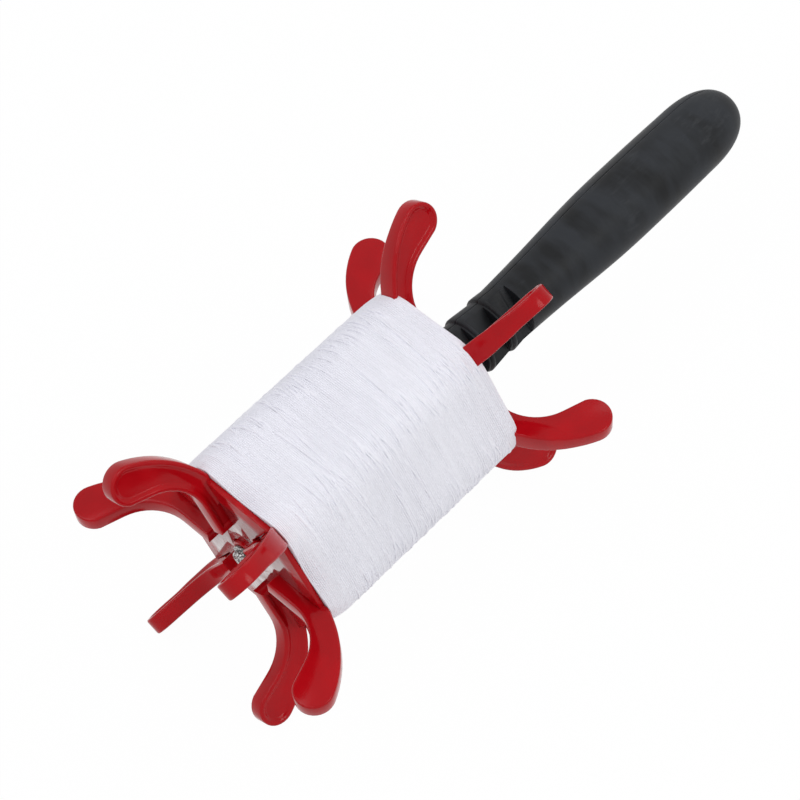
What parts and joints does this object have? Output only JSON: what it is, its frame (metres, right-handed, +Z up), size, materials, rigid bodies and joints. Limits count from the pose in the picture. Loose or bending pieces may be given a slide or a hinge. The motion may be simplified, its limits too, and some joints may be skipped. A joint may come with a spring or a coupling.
{
  "type": "kite line winder",
  "caption": "Hand-held reel: a horned blade spool full of line turns freely on a steel spindle fixed in a ringed, swelling plastic handle.",
  "frame": {"origin": "centre of the bounding box, on the surface that the reel lies on", "axes": "+X along the spindle from the screw end of the spool towards the butt of the handle, +Z up, +Y across"},
  "size_m": [0.318, 0.1346, 0.1195],
  "materials": {
    "red_plastic": "glossy injection-moulded plastic",
    "handle_plastic": "matt black plastic, slightly worn",
    "line": "tightly wound pale braided line",
    "bush_plastic": "natural low-friction plastic",
    "steel": "plain ground steel",
    "bright_steel": "bright zinc-plated steel"
  },
  "bodies": {
    "handle": {"handle_shell_front": "handle_plastic", "handle_shell_back": "handle_plastic", "spindle": "steel", "anchor_pin": "steel", "thrust_washer": "steel", "end_washer": "bright_steel", "end_screw": "bright_steel"},
    "spool": {"blade_1": "red_plastic", "blade_2": "red_plastic", "blade_3": "red_plastic", "blade_4": "red_plastic", "blade_5": "red_plastic", "blade_6": "red_plastic", "near_end_plate": "red_plastic", "far_end_plate": "red_plastic", "hub_tube": "red_plastic", "near_bush": "bush_plastic", "far_bush": "bush_plastic", "line_core": "line", "line_outer_layer": "line"}
  },
  "joints": [
    {"name": "spool_spin", "type": "hinge", "parent": "handle", "child": "spool", "pos_m": [-0.0726, 0, 0.05974], "axis": [1, 0, 0], "continuous": true}
  ]
}
